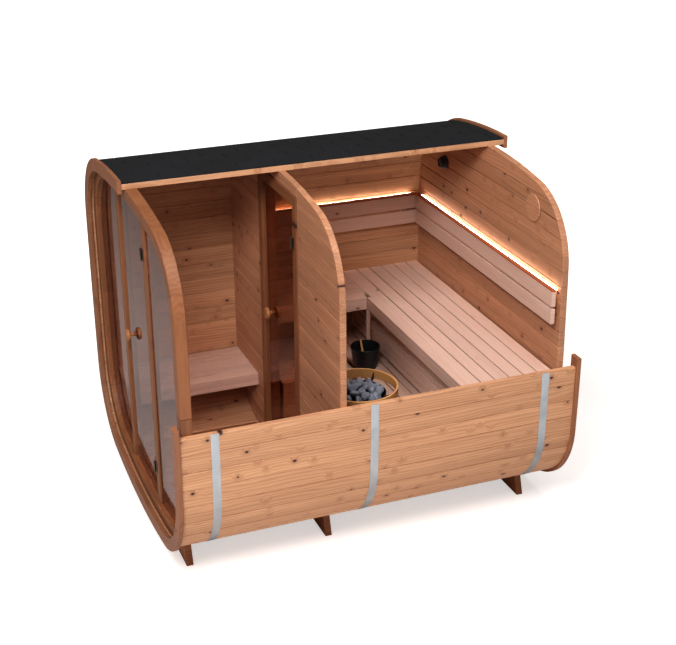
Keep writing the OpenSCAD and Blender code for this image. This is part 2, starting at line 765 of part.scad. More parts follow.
front_ring();
back_ring();
shell_roof();
shell_far_upper_corner();
shell_far_side();
shell_far_lower_corner();
shell_bottom();
shell_near_lower_corner();
shell_near_side();
roof_shingles();
tension_straps();
cradle_feet();
facade_frame();
facade_posts();
facade_side_glass();
front_door_glass();
front_door_knobs();
front_door_clamps();
door_hinges();
partition_far_panel();
partition_near_panel();
partition_head_panel();
partition_sill();
partition_jambs();
partition_door_head();
partition_door_glass();
partition_door_knobs();
partition_door_clamps();
back_wall();
vent_cover();
wall_lamp();
floor_grids();
changing_bench();
main_bench();
side_bench();
bench_skirt();
bench_legs();
lower_deck();
side_deck();
back_backrest();
side_backrest();
light_strips();
heater_body();
heater_stones();
heater_guard();
bucket();
ladle();
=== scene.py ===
import math
import random

import bpy
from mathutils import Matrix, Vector


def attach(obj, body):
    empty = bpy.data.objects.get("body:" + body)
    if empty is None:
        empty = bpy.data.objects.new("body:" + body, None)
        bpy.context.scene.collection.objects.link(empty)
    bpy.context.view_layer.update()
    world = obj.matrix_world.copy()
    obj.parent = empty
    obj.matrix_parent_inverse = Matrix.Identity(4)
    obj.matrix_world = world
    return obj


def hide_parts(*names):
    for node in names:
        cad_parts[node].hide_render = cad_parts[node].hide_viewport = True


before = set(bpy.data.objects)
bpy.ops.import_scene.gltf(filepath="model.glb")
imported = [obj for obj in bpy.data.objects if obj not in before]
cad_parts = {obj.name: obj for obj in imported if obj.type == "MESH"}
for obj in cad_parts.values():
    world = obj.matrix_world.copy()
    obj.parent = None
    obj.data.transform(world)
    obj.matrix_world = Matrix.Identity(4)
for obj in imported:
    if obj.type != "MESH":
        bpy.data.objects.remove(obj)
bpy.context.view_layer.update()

# Barrel shell: a rounded-square tube of solid softwood staves about 115 mm wide and 38 mm
# thick, heat-treated to an even brown. Each stave is planed with a small bevel on its long
# edges, so the joints show as fine V lines inside and out. The upper near quarter is absent.
HALF_W, HALF_H, CORNER = 1.121, 1.114, 0.518
SIDE_HALF, TOP_HALF = math.radians(1.9), math.radians(8.9)
FOOT_H, RING_LIP, STAVE = 0.139, 0.021, 0.038
CENTRE_Z = FOOT_H + HALF_H - RING_LIP
SHELL_END = 1.292
SEAT_GAP = 0.0003              # what a seated piece stands off its seat
WALL_IN = RING_LIP + STAVE - 0.005   # the walls' edge, let 5 mm into the staves
run_w, run_h = HALF_W - CORNER, HALF_H - CORNER
cs, ct = 1 - math.cos(SIDE_HALF), 1 - math.cos(TOP_HALF)
ss, st = math.sin(SIDE_HALF), math.sin(TOP_HALF)
SIDE_R = CORNER + (run_w * ct - run_h * st) / (cs * ct - ss * st)
TOP_R = CORNER + (run_h * cs - run_w * ss) / (cs * ct - ss * st)


def outline(inset, angle):
    """Point of the barrel's section, set in from the end rings' outside, by normal angle."""
    fold = math.acos(min(1, abs(math.cos(angle))))
    if fold <= SIDE_HALF:
        x = HALF_W - SIDE_R + (SIDE_R - inset) * math.cos(fold)
        z = (SIDE_R - inset) * math.sin(fold)
    elif fold <= math.pi / 2 - TOP_HALF:
        x = HALF_W - SIDE_R + (SIDE_R - CORNER) * math.cos(SIDE_HALF)
        z = (SIDE_R - CORNER) * math.sin(SIDE_HALF)
        x += (CORNER - inset) * math.cos(fold)
        z += (CORNER - inset) * math.sin(fold)
    else:
        x = (TOP_R - inset) * math.cos(fold)
        z = HALF_H - TOP_R + (TOP_R - inset) * math.sin(fold)
    x = -x if math.cos(angle) < 0 else x
    z = -z if math.sin(angle) < 0 else z
    return (x, CENTRE_Z + z)


def half_rise(inset, x):
    return HALF_H - TOP_R + math.sqrt((TOP_R - inset) ** 2 - x * x)


def arc_table(inset, start, end):
    """Running lengths and angles along the outline, for cutting it into equal widths."""
    count = 4000
    angles = [start + (end - start) * i / count for i in range(count + 1)]
    points = [outline(inset, a) for a in angles]
    lengths = [0.0]
    for p, q in zip(points, points[1:]):
        lengths.append(lengths[-1] + math.dist(p, q))
    return lengths, angles


def angle_at(table, length):
    lengths, angles = table
    lo, hi = 0, len(lengths) - 1
    length = min(max(length, 0), lengths[-1])
    while hi - lo > 1:
        mid = (lo + hi) // 2
        if lengths[mid] <= length:
            lo = mid
        else:
            hi = mid
    share = (length - lengths[lo]) / (lengths[hi] - lengths[lo])
    return angles[lo] + (angles[hi] - angles[lo]) * share


def upright(u, v, w):
    """Stands a section that is drawn in x and z across the barrel's length."""
    return (u, w, v)


def inset_polygon(poly, amount):
    """The polygon moved inwards by amount, with mitred corners."""
    area = sum(p[0] * q[1] - q[0] * p[1] for p, q in zip(poly, poly[1:] + poly[:1]))
    turn = 1 if area > 0 else -1
    result = []
    for i, p in enumerate(poly):
        a, b = poly[i - 1], poly[(i + 1) % len(poly)]
        d1, d2 = Vector((p[0] - a[0], p[1] - a[1])), Vector((b[0] - p[0], b[1] - p[1]))
        if d1.length < 1e-9 or d2.length < 1e-9:
            result.append(p)
            continue
        d1.normalize()
        d2.normalize()
        n1, n2 = Vector((-d1.y, d1.x)) * turn, Vector((-d2.y, d2.x)) * turn
        m = n1 + n2
        m = m / max(m.dot(m) / 2, 0.2)
        result.append((p[0] + m.x * amount, p[1] + m.y * amount))
    return result


class Boards:
    """Collects bevelled boards into one mesh, each with its own grain direction and tone."""

    def __init__(self, seed):
        self.verts, self.faces, self.grain, self.tone = [], [], [], []
        self.rng = random.Random(seed)

    def prism(self, poly, w0, w1, place, along, bevel=0.0015, across=None):
        """poly in the plane (u, v), drawn out from w0 to w1; place turns (u, v, w) to x, y, z."""
        start = len(self.verts)
        small = inset_polygon(poly, bevel) if bevel else poly
        if bevel:
            layers = [(small, w0), (poly, w0 + bevel), (poly, w1 - bevel), (small, w1)]
        else:
            layers = [(poly, w0), (poly, w1)]
        along = Vector(along).normalized()
        if across is None:
            across = Vector((0, 1, 0)) if abs(along.z) > 0.9 else Vector((0, 0, 1))
            if abs(along.y) > 0.9 or abs(along.x) > 0.9:
                us = [p[0] for p in poly]
                vs = [p[1] for p in poly]
                mid_u, mid_v = sum(us) / len(us), sum(vs) / len(vs)
                wide_u = max(us) - min(us) > max(vs) - min(vs)
                a = Vector(place(mid_u + wide_u, mid_v + (not wide_u), 0))
                across = a - Vector(place(mid_u, mid_v, 0))
            if abs(across.normalized().dot(along)) > 0.7:
                across = Vector((0, 0, 1)) if abs(along.z) < 0.5 else Vector((1, 0, 0))
        across = (across - along * across.dot(along)).normalized()
        third = along.cross(across)
        shift = [self.rng.uniform(0, 40) for _ in range(3)]
        tone = self.rng.random()
        count = len(poly)
        for ring, w in layers:
            for u, v in ring:
                p = Vector(place(u, v, w))
                self.verts.append(p)
                self.grain.append((p.dot(along) + shift[0], p.dot(across) + shift[1],
                                   p.dot(third) + shift[2]))
                self.tone.append(tone)
        top = start + count * (len(layers) - 1)
        faces = [tuple(range(start + count - 1, start - 1, -1)), tuple(range(top, top + count))]
        for k in range(len(layers) - 1):
            a = start + k * count
            for i in range(count):
                j = (i + 1) % count
                faces.append((a + i, a + j, a + count + j, a + count + i))
        centre = sum((self.verts[i] for i in faces[1]), Vector()) / count
        low = sum((self.verts[i] for i in faces[0]), Vector()) / count
        normal = Vector()
        cap = [self.verts[i] for i in faces[1]]
        for p, q in zip(cap, cap[1:] + cap[:1]):
            normal += (p - centre).cross(q - centre)
        if normal.dot(centre - low) < 0:
            faces = [tuple(reversed(f)) for f in faces]
        self.faces.extend(faces)

    def plank(self, x, y, z, along, bevel=0.002):
        """A board between the limits x, y and z, its length along that axis."""
        if along == "x":
            section, ends, place = (y, z), x, lambda u, v, w: (w, u, v)
        elif along == "y":
            section, ends, place = (x, z), y, upright
        else:
            section, ends, place = (x, y), z, lambda u, v, w: (u, v, w)
        (u0, u1), (v0, v1) = section
        b = bevel
        poly = [(u0 + b, v0), (u1 - b, v0), (u1, v0 + b), (u1, v1 - b),
                (u1 - b, v1), (u0 + b, v1), (u0, v1 - b), (u0, v0 + b)]
        direction = {"x": (1, 0, 0), "y": (0, 1, 0), "z": (0, 0, 1)}[along]
        if along == "z":
            wide = Vector((1, 0, 0)) if u1 - u0 > v1 - v0 else Vector((0, 1, 0))
        elif along == "x":
            wide = Vector((0, 1, 0)) if u1 - u0 > v1 - v0 else Vector((0, 0, 1))
        else:
            wide = Vector((1, 0, 0)) if u1 - u0 > v1 - v0 else Vector((0, 0, 1))
        self.prism(poly, *ends, place, direction, min(b, 0.0015), wide)

    def build(self, name, material, nodes=(), body="sauna"):
        mesh = bpy.data.meshes.new(name)
        mesh.from_pydata([tuple(v) for v in self.verts], [], self.faces)
        grain = mesh.attributes.new("grain", "FLOAT_VECTOR", "POINT")
        grain.data.foreach_set("vector", [c for g in self.grain for c in g])
        tone = mesh.attributes.new("tone", "FLOAT", "POINT")
        tone.data.foreach_set("value", self.tone)
        mesh.materials.append(material)
        piece = bpy.data.objects.new(name, mesh)
        bpy.context.scene.collection.objects.link(piece)
        if nodes:
            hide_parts(*nodes)
        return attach(piece, body)


def linear(code):
    """sRGB hex to linear colour."""
    parts = [int(code[i:i + 2], 16) / 255 for i in (1, 3, 5)]
    return tuple(c / 12.92 if c < 0.04045 else ((c + 0.055) / 1.055) ** 2.4
                 for c in parts) + (1,)


def add(tree, kind, inputs=None, **settings):
    """One node with its settings, values and links."""
    new = tree.nodes.new(kind)
    for key, value in settings.items():
        setattr(new, key, value)
    for key, value in (inputs or {}).items():
        if isinstance(value, bpy.types.NodeSocket):
            tree.links.new(value, new.inputs[key])
        else:
            new.inputs[key].default_value = value
    return new


def material(name):
    made = bpy.data.materials.new(name)
    made.use_nodes = True
    made.node_tree.nodes.clear()
    return made, made.node_tree


# Heat-treated spruce, planed and oiled. The eye sees mid brown boards of slightly different
# tone, long darker growth lines, fine fibre and round dark knots with the grain round them.
# Growth lines are drawn about 19 mm apart, wider than on the board, so that they show.
def timber(name, light, dark, knot, knots=0.5, spread=0.3, rough=0.52, contrast=0.6):
    made, t = material(name)
    grain = add(t, "ShaderNodeAttribute", attribute_name="grain").outputs["Vector"]
    tone = add(t, "ShaderNodeAttribute", attribute_name="tone").outputs["Fac"]
    cell = add(t, "ShaderNodeMapping", {"Vector": grain, "Scale": (7.5, 10.5, 1.2)})
    spots = add(t, "ShaderNodeTexVoronoi", {"Vector": cell.outputs[0], "Scale": 1.0})
    pick = add(t, "ShaderNodeSeparateColor", {"Color": spots.outputs["Color"]})
    chosen = add(t, "ShaderNodeMath", {0: pick.outputs[0], 1: 1 - knots},
                 operation="GREATER_THAN")
    size = add(t, "ShaderNodeMapRange", {"Value": pick.outputs[1], "To Min": 0.055,
                                         "To Max": 0.135})
    halo = add(t, "ShaderNodeMapRange", {"Value": spots.outputs["Distance"], "From Min": 0.03,
                                         "From Max": 0.42, "To Min": 1.0, "To Max": 0.0},
               interpolation_type="SMOOTHERSTEP")
    halo = add(t, "ShaderNodeMath", {0: halo.outputs[0], 1: chosen.outputs[0]},
               operation="MULTIPLY").outputs[0]
    core = add(t, "ShaderNodeMath", {0: spots.outputs["Distance"], 1: size.outputs[0]},
               operation="DIVIDE")
    core = add(t, "ShaderNodeMapRange", {"Value": core.outputs[0], "From Min": 0.7,
                                         "From Max": 1.15, "To Min": 1.0, "To Max": 0.0})
    core = add(t, "ShaderNodeMath", {0: core.outputs[0], 1: chosen.outputs[0]},
               operation="MULTIPLY").outputs[0]
    slow = add(t, "ShaderNodeMapping", {"Vector": grain, "Scale": (0.9, 9.0, 9.0)})
    drift = add(t, "ShaderNodeTexNoise", {"Vector": slow.outputs[0], "Scale": 1.0,
                                          "Detail": 3.0, "Roughness": 0.55})
    side = add(t, "ShaderNodeSeparateXYZ", {"Vector": grain}).outputs["Y"]
    phase = add(t, "ShaderNodeMath", {0: side, 1: 330.0}, operation="MULTIPLY")
    phase = add(t, "ShaderNodeMath", {0: drift.outputs["Fac"], 1: 34.0,
                                      2: phase.outputs[0]}, operation="MULTIPLY_ADD")
    phase = add(t, "ShaderNodeMath", {0: halo, 1: 9.0, 2: phase.outputs[0]},
                operation="MULTIPLY_ADD")
    rings = add(t, "ShaderNodeMath", {0: phase.outputs[0]}, operation="SINE")
    rings = add(t, "ShaderNodeMapRange", {"Value": rings.outputs[0], "From Min": -0.6,
                                          "From Max": 1.0}).outputs[0]
    thin = add(t, "ShaderNodeMapping", {"Vector": grain, "Scale": (4.0, 230.0, 230.0)})
    fibre = add(t, "ShaderNodeTexNoise", {"Vector": thin.outputs[0], "Scale": 1.0,
                                          "Detail": 2.0}).outputs["Fac"]
    wide = add(t, "ShaderNodeMapping", {"Vector": grain, "Scale": (0.7, 16.0, 16.0)})
    band = add(t, "ShaderNodeTexNoise", {"Vector": wide.outputs[0], "Scale": 1.0,
                                         "Detail": 4.0, "Roughness": 0.6}).outputs["Fac"]
    band = add(t, "ShaderNodeMapRange", {"Value": band, "From Min": 0.32, "From Max": 0.7})
    amount = add(t, "ShaderNodeMath", {0: rings, 1: 0.45 * contrast}, operation="MULTIPLY")
    amount = add(t, "ShaderNodeMath", {0: band.outputs[0], 1: 0.55 * contrast,
                                       2: amount.outputs[0]}, operation="MULTIPLY_ADD")
    amount = add(t, "ShaderNodeMath", {0: fibre, 1: 0.3 * contrast, 2: amount.outputs[0]},
                 operation="MULTIPLY_ADD", use_clamp=True).outputs[0]
    base = add(t, "ShaderNodeMix", {"Factor": amount, "A": linear(light), "B": linear(dark)},
               data_type="RGBA")
    ring = add(t, "ShaderNodeMath", {0: halo, 1: 0.4}, operation="MULTIPLY")
    base = add(t, "ShaderNodeMix", {"Factor": ring.outputs[0],
                                    "A": base.outputs[2], "B": linear(dark)}, data_type="RGBA")
    lift = add(t, "ShaderNodeMapRange", {"Value": tone, "To Min": 1 - spread / 2,
                                         "To Max": 1 + spread / 2})
    toned = add(t, "ShaderNodeHueSaturation", {"Color": base.outputs[2],
                                               "Value": lift.outputs[0]})
    mixed = add(t, "ShaderNodeMix", {"Factor": core, "A": toned.outputs[0], "B": linear(knot)},
                data_type="RGBA")
    height = add(t, "ShaderNodeMath", {0: rings, 1: -0.35, 2: fibre}, operation="MULTIPLY_ADD")
    bump = add(t, "ShaderNodeBump", {"Height": height.outputs[0], "Strength": 0.25,
                                     "Distance": 0.0006})
    sheen = add(t, "ShaderNodeMapRange", {"Value": fibre, "To Min": rough - 0.08,
                                          "To Max": rough + 0.14})
    shader = add(t, "ShaderNodeBsdfPrincipled", {"Base Color": mixed.outputs[2],
                                                 "Roughness": sheen.outputs[0], "IOR": 1.48,
                                                 "Normal": bump.outputs[0]})
    add(t, "ShaderNodeOutputMaterial", {"Surface": shader.outputs[0]})
    return made


shell_wood = timber("heat_treated_spruce_boards", "#D8A984", "#9A6949", "#432326",
                    knots=0.8, spread=0.24, contrast=0.6)


def cut_staves(start, end, width, outer, inner):
    """Section polygons of equal staves along the outline, with bevelled long edges."""
    table = arc_table(outer, start, end)
    total = table[0][-1]
    count = round(total / width)
    edge, gap = 0.0030, 0.0007
    sections = []
    for k in range(count):
        s0, s1 = total * k / count + gap, total * (k + 1) / count - gap
        stops = [s0 + edge] + [s0 + (s1 - s0) * f for f in (0.25, 0.5, 0.75)] + [s1 - edge]
        angles = [angle_at(table, s) for s in stops]
        a0, a1 = angle_at(table, s0), angle_at(table, s1)
        out = [outline(outer + edge, a0)] + [outline(outer, a) for a in angles]
        out += [outline(outer + edge, a1)]
        back = [outline(inner - edge, a1)] + [outline(inner, a) for a in reversed(angles)]
        back += [outline(inner - edge, a0)]
        sections.append((out + back, angles[2]))
    return sections


ROOF_CUT = math.acos(0.016 / TOP_R)
SIDE_CUT = 2 * math.pi - math.asin(0.106 / SIDE_R)
staves = Boards(11)
for section, angle in cut_staves(ROOF_CUT, SIDE_CUT, 0.115, RING_LIP, RING_LIP + STAVE):
    tangent = Vector((-math.sin(angle), 0, math.cos(angle)))
    staves.prism(section, -SHELL_END, SHELL_END, upright, (0, 1, 0),
                 0, tangent)
staves.build("barrel_staves", shell_wood,
             ["shell_roof", "shell_far_upper_corner", "shell_far_side",
              "shell_far_lower_corner", "shell_bottom", "shell_near_lower_corner",
              "shell_near_side"])

# End rings: flat trim of the same timber, 28 mm thick, sawn to the curve in lengths of about
# 0.8 m and butted end to end. Their edges are eased, and the butt joints show as thin lines.
# The trim's colour is the staves' timber darkened by painted shade, standing for the shade that
# falls on the rings.
ring_wood_painted_shade = timber("heat_treated_spruce_trim_painted_shade", "#A06E4F", "#74462F", "#43241A",
                   knots=0.2, spread=0.22)


def curved_band(boards, start, end, pieces, outer, inner, y0, y1, bevel, joint=0.0006):
    """Sawn segments that follow the outline, butted end to end."""
    table = arc_table(outer, start, end)
    total = table[0][-1]
    for k in range(pieces):
        s0 = total * k / pieces + (joint / 2 if k else 0)
        s1 = total * (k + 1) / pieces - (joint / 2 if k < pieces - 1 else 0)
        stops = [angle_at(table, s0 + (s1 - s0) * i / 18) for i in range(19)]
        poly = [outline(outer, a) for a in stops] + [outline(inner, a) for a in reversed(stops)]
        mid = stops[9]
        tangent = Vector((-math.sin(mid), 0, math.cos(mid)))
        normal = Vector((math.cos(mid), 0, math.sin(mid)))
        boards.prism(poly, y0, y1, upright, tangent, bevel, normal)


RING_CUT = 2 * math.pi - math.asin(0.040 / SIDE_R)
for name, y0, seed in (("front_ring", -1.320, 21), ("back_ring", 1.292, 22)):
    ring = Boards(seed)
    curved_band(ring, ROOF_CUT, RING_CUT, 8, 0, 0.083, y0, y0 + 0.028, 0.003)
    ring.build(name + "_boards", ring_wood_painted_shade, [name])

# Shingle cover: strips of mineral-faced bitumen felt, nailed in rows that lap downwards from
# the ridge. Each strip is cut into 250 mm tabs, and the slots are staggered row by row.
slate, t = material("mineral_faced_bitumen")
where = add(t, "ShaderNodeTexCoord").outputs["Object"]
tone = add(t, "ShaderNodeAttribute", attribute_name="tone").outputs["Fac"]
grit = add(t, "ShaderNodeTexNoise", {"Vector": where, "Scale": 420.0, "Detail": 2.0})
patch = add(t, "ShaderNodeTexNoise", {"Vector": where, "Scale": 9.0, "Detail": 3.0})
both = add(t, "ShaderNodeMath", {0: grit.outputs["Fac"], 1: 0.6}, operation="MULTIPLY")
both = add(t, "ShaderNodeMath", {0: patch.outputs["Fac"], 1: 0.35, 2: both.outputs[0]},
           operation="MULTIPLY_ADD")
both = add(t, "ShaderNodeMath", {0: tone, 1: 0.14, 2: both.outputs[0]},
           operation="MULTIPLY_ADD")
shade = add(t, "ShaderNodeValToRGB", {"Fac": both.outputs[0]})
shade.color_ramp.elements[0].position = 0.3
shade.color_ramp.elements[0].color = linear("#06080C")
shade.color_ramp.elements[1].position = 0.95
shade.color_ramp.elements[1].color = linear("#191D24")
rub = add(t, "ShaderNodeBump", {"Height": grit.outputs["Fac"], "Strength": 0.5,
                                "Distance": 0.0012})
felt = add(t, "ShaderNodeBsdfPrincipled", {"Base Color": shade.outputs[0], "Roughness": 0.82,
                                           "IOR": 1.5, "Normal": rub.outputs[0]})
add(t, "ShaderNodeOutputMaterial", {"Surface": felt.outputs[0]})

shingles = Boards(31)
SHINGLE_END = math.radians(172)
FELT_Y = 1.2917
SLOT_HALF, SHORTEST_TAB = 0.008, 0.03
under, over = 0.0191, 0.0105
table = arc_table(over, ROOF_CUT, SHINGLE_END)
total = table[0][-1]
rows = 10
tab = 0.250
for row in range(rows):
    s0 = total * row / rows
    s1 = min(total * (row + 1) / rows + 0.012, total)
    stops = [angle_at(table, s0 + (s1 - s0) * i / 5) for i in range(6)]
    lower = [outline(under - 0.0005, a) for a in stops]
    upper = [outline(over + 0.0055 - 0.0052 * i / 5, a) for i, a in enumerate(stops)]
    section = lower + upper[::-1]
    y = -FELT_Y - (row % 2) * tab / 2
    while y < FELT_Y:
        y0, y1 = max(y, -FELT_Y) + SLOT_HALF, min(y + tab, FELT_Y) - SLOT_HALF
        if y1 - y0 > SHORTEST_TAB:
            shingles.prism(section, y0, y1, upright, (0, 1, 0), 0.0008)
        y += tab
bed = [angle_at(table, total * i / 40) for i in range(41)]
sheet = [outline(under, a) for a in bed] + [outline(under - 0.003, a) for a in reversed(bed)]
shingles.prism(sheet, -FELT_Y, FELT_Y, upright, (0, 1, 0), 0)
shingles.build("shingle_tabs", slate, ["roof_shingles"])

# Tension straps: cold-rolled stainless steel band, brushed along its length. It wraps the
# shell and pulls the staves together.
brushed, t = material("brushed_stainless_band")
where = add(t, "ShaderNodeTexCoord").outputs["Object"]
lines = add(t, "ShaderNodeMapping", {"Vector": where, "Scale": (6.0, 900.0, 6.0)})
scratch = add(t, "ShaderNodeTexNoise", {"Vector": lines.outputs[0], "Scale": 1.0,
                                        "Detail": 3.0}).outputs["Fac"]
cloud = add(t, "ShaderNodeTexNoise", {"Vector": where, "Scale": 7.0}).outputs["Fac"]
tint = add(t, "ShaderNodeMix", {"Factor": cloud, "A": linear("#B9BDC1"),
                                "B": linear("#8F9499")}, data_type="RGBA")
sheen = add(t, "ShaderNodeMapRange", {"Value": scratch, "To Min": 0.28, "To Max": 0.5})
bump = add(t, "ShaderNodeBump", {"Height": scratch, "Strength": 0.2, "Distance": 0.0003})
steel = add(t, "ShaderNodeBsdfPrincipled", {"Base Color": tint.outputs[2], "Metallic": 1.0,
                                            "Roughness": sheen.outputs[0],
                                            "Normal": bump.outputs[0]})
add(t, "ShaderNodeOutputMaterial", {"Surface": steel.outputs[0]})


def dress(name, made):
    """Gives a CAD piece its finish."""
    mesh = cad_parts[name].data
    if mesh.materials:
        for i in range(len(mesh.materials)):
            mesh.materials[i] = made
    else:
        mesh.materials.append(made)


dress("tension_straps", brushed)

# Cradle feet: 45 mm boards on edge, sawn to the barrel's underside and slanted at the ends.
foot_wood = timber("heat_treated_spruce_feet", "#A9714B", "#74452B", "#3A1F17", knots=0.3)
feet = Boards(41)
FOOT_REACH, FOOT_HALF_T = 0.7, 0.0225
end_slope = math.tan(math.radians(18))
for y in (-1.170, -0.235, 1.170):
    rim = []
    for i in range(41):
        x = 0.655 - 1.31 * i / 40
        z = CENTRE_Z - half_rise(RING_LIP - SEAT_GAP, x) if abs(x) < 0.6 else None
        if z is None:
            dx = abs(x) - (HALF_W - SIDE_R + (SIDE_R - CORNER) * math.cos(SIDE_HALF))
            low = CENTRE_Z - (SIDE_R - CORNER) * math.sin(SIDE_HALF)
            z = low - math.sqrt((CORNER - RING_LIP + SEAT_GAP) ** 2 - max(dx, 0) ** 2)
        rim.append((x, min(z, (FOOT_REACH - abs(x)) / end_slope)))
    section = [(-FOOT_REACH, 0), (FOOT_REACH, 0)] + rim
    feet.prism(section, y - FOOT_HALF_T, y + FOOT_HALF_T, upright, (1, 0, 0), 0.002,
               Vector((0, 0, 1)))
feet.build("cradle_foot_boards", foot_wood, ["cradle_feet"])

# Glazed front: a curved frame sawn in segments from thick timber, with two upright posts.
# The latch post carries a set-back stop that the glass door closes against.
# The frame's colour is the same spruce darkened by painted shade; the posts and the partition
# casing share it.
frame_wood_painted_shade = timber("heat_treated_spruce_frame_painted_shade", "#96633F", "#6B3F28", "#3C2018", knots=0.18)
FRAME_IN, FRAME_BACK, POST_FRONT = 0.134, -1.200, -1.250
DOORWAY = (-0.412, 0.341)
LATCH_POST, LATCH_STOP, HINGE_POST = (-0.412, -0.349), (-0.3488, -0.271), (0.265, 0.341)
front = Boards(51)
curved_band(front, 0.0001, 2 * math.pi - 0.0001, 10, WALL_IN, FRAME_IN, -1.272, FRAME_BACK,
            0.003)
front.build("front_frame_segments", frame_wood_painted_shade, ["facade_frame"])


def post(boards, x, y0, y1, z=None, bevel=0.003):
    """An upright; with no z it runs between the curved frame's top and bottom."""
    if z is None:
        reach = half_rise(FRAME_IN, max(abs(x[0]), abs(x[1]))) + 0.003
        z = (CENTRE_Z - reach, CENTRE_Z + reach)
    boards.plank(x, (y0, y1), z, "z", bevel)


posts = Boards(52)
post(posts, LATCH_POST, POST_FRONT, FRAME_BACK)
post(posts, LATCH_STOP, -1.226, FRAME_BACK)
post(posts, HINGE_POST, POST_FRONT, FRAME_BACK)
posts.build("front_posts", frame_wood_painted_shade, ["facade_posts"])


# Toughened sheet glass, tinted in the melt: 8 mm panes with polished edges. The tint shows
# as a grey-violet cast at the front and a bronze cast in the partition.
def tinted(name, colour, clear):
    made, t = material(name)
    where = add(t, "ShaderNodeTexCoord").outputs["Object"]
    wave = add(t, "ShaderNodeTexNoise", {"Vector": where, "Scale": 1.3})
    ripple = add(t, "ShaderNodeBump", {"Height": wave.outputs["Fac"], "Strength": 0.05,
                                       "Distance": 0.01})
    body = add(t, "ShaderNodeBsdfPrincipled", {"Base Color": linear(colour),
                                               "Roughness": 0.03, "IOR": 1.2,
                                               "Transmission Weight": 1.0,
                                               "Normal": ripple.outputs[0]})
    light = add(t, "ShaderNodeBsdfTransparent", {"Color": linear(clear)})
    path = add(t, "ShaderNodeLightPath")
    mix = add(t, "ShaderNodeMixShader", {0: path.outputs["Is Shadow Ray"],
                                         1: body.outputs[0], 2: light.outputs[0]})
    add(t, "ShaderNodeOutputMaterial", {"Surface": mix.outputs[0]})
    return made


grey_glass = tinted("grey_tinted_glass", "#C2AFAF", "#C8B6B4")
bronze_glass = tinted("bronze_tinted_glass", "#B58C74", "#C29E86")
dress("facade_side_glass", grey_glass)
dress("front_door_glass", grey_glass)
dress("partition_door_glass", bronze_glass)

# Hinge clamps and plates: small stainless castings with a fine satin finish.
satin, t = material("satin_stainless_casting")
where = add(t, "ShaderNodeTexCoord").outputs["Object"]
speck = add(t, "ShaderNodeTexNoise", {"Vector": where, "Scale": 700.0}).outputs["Fac"]
sheen = add(t, "ShaderNodeMapRange", {"Value": speck, "To Min": 0.26, "To Max": 0.4})
steel = add(t, "ShaderNodeBsdfPrincipled", {"Base Color": linear("#6F625A"), "Metallic": 1.0,
                                            "Roughness": sheen.outputs[0]})
add(t, "ShaderNodeOutputMaterial", {"Surface": steel.outputs[0]})
for name in ("front_door_clamps", "partition_door_clamps", "door_hinges"):
    dress(name, satin)

# Door knobs: turned discs of pale hardwood on both faces, joined by a stem through the glass.
knob_wood = timber("turned_birch", "#B07A4C", "#8A5733", "#5A3420", knots=0.0, contrast=0.5)


def lathe(boards, profile, place, along, steps=48):
    """A turned shape: profile is (radius, height) from one end to the other, closed."""
    start = len(boards.verts)
    shift = [boards.rng.uniform(0, 40) for _ in range(3)]
    tone = boards.rng.random()
    along = Vector(along).normalized()
    side = Vector((0, 0, 1)) if abs(along.z) < 0.5 else Vector((1, 0, 0))
    third = along.cross(side)
    rings = []
    for r, h in profile:
        ring = []
        for i in range(steps if r > 1e-6 else 1):
            a = 2 * math.pi * i / steps
            p = Vector(place(r * math.cos(a), r * math.sin(a), h))
            ring.append(len(boards.verts))
            boards.verts.append(p)
            boards.grain.append((p.dot(along) + shift[0], p.dot(side) + shift[1],
                                 p.dot(third) + shift[2]))
            boards.tone.append(tone)
        rings.append(ring)
    for a, b in zip(rings, rings[1:]):
        for i in range(steps):
            j = (i + 1) % steps
            if len(a) == 1:
                boards.faces.append((a[0], b[j], b[i])[::-1])
            elif len(b) == 1:
                boards.faces.append((a[i], a[j], b[0]))
            else:
                boards.faces.append((a[i], a[j], b[j], b[i]))


def knob(boards, x, y, z, way):
    """A disc with a hollowed face and rounded rim, on a stem that stands on the glass."""
    profile = [(0, 0), (0.012, 0), (0.0115, 0.010), (0.013, 0.0205), (0.030, 0.0212),
               (0.038, 0.0240), (0.0416, 0.030), (0.0419, 0.038), (0.0395, 0.0445),
               (0.034, 0.0488), (0.020, 0.0478), (0, 0.0472)]
    lathe(boards, profile, lambda u, v, h: (x + u, y + way * h, z - way * v), (1, 0, 0))


KNOB_X, KNOB_Z = -0.206, 1.235
for door, face in (("front_door", POST_FRONT), ("partition_door", -0.298)):
    pair = Boards(61 if door == "front_door" else 62)
    knob(pair, KNOB_X, face + 0.011, KNOB_Z, -1)
    knob(pair, KNOB_X, face + 0.019, KNOB_Z, 1)
    pair.build(door + "_turned_knobs", knob_wood, [door + "_knobs"], door)

# Partition: horizontal tongued boards, 42 mm thick, let into a groove of the staves. A framed
# doorway stands in it, with a jamb each side and a head over the glass door.
inner_wood = timber("heat_treated_spruce_lining", "#C59372", "#8E5E42", "#432326",
                    knots=0.8, spread=0.2, contrast=0.6)


def clipped(poly, axis, low, high):
    """The part of a convex polygon between two limits of u or v."""
    for limit, keep in ((low, 1), (high, -1)):
        result = []
        for p, q in zip(poly, poly[1:] + poly[:1]):
            a, b = keep * (p[axis] - limit), keep * (q[axis] - limit)
            if a >= 0:
                result.append(p)
            if (a >= 0) != (b >= 0):
                f = a / (a - b)
                result.append((p[0] + (q[0] - p[0]) * f, p[1] + (q[1] - p[1]) * f))
        poly = result
        if len(poly) < 3:
            return []
    clean = [p for i, p in enumerate(poly) if math.dist(p, poly[i - 1]) > 1e-4]
    return clean


section = [outline(WALL_IN, 2 * math.pi * i / 240) for i in range(240)]


